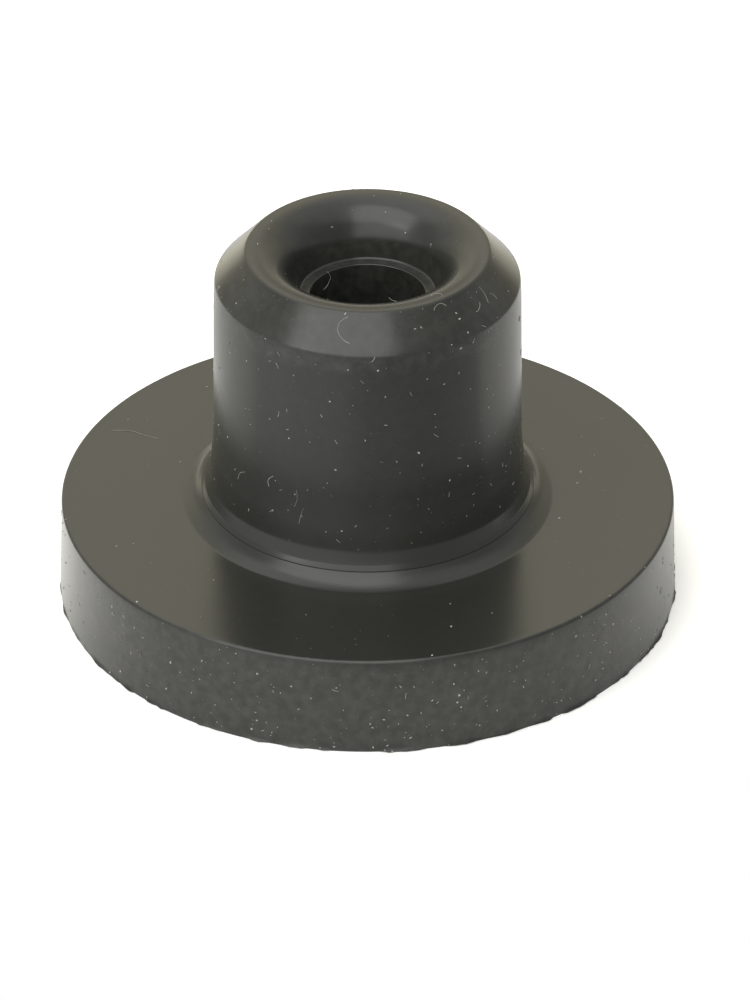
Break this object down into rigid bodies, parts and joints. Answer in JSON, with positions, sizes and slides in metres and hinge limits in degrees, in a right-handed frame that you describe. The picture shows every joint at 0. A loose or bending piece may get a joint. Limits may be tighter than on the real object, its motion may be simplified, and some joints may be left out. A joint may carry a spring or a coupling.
{
  "type": "rubber grommet",
  "caption": "One-piece moulded rubber grommet: a flat round flange with a thick neck that plugs a round hole, a bevelled tip, and a flared mouth leading into a straight through bore.",
  "frame": {"origin": "centre of the flange's flat base, on the bore's axis", "axes": "+Z along the bore's axis, up the neck to the lip; the part is round about Z, so X and Y are free"},
  "size_m": [0.03, 0.03, 0.0187],
  "materials": {
    "moulded_rubber": "semi-matt dark grey moulded rubber with fine dust"
  },
  "bodies": {
    "root": {"grommet": "moulded_rubber"}
  },
  "joints": []
}
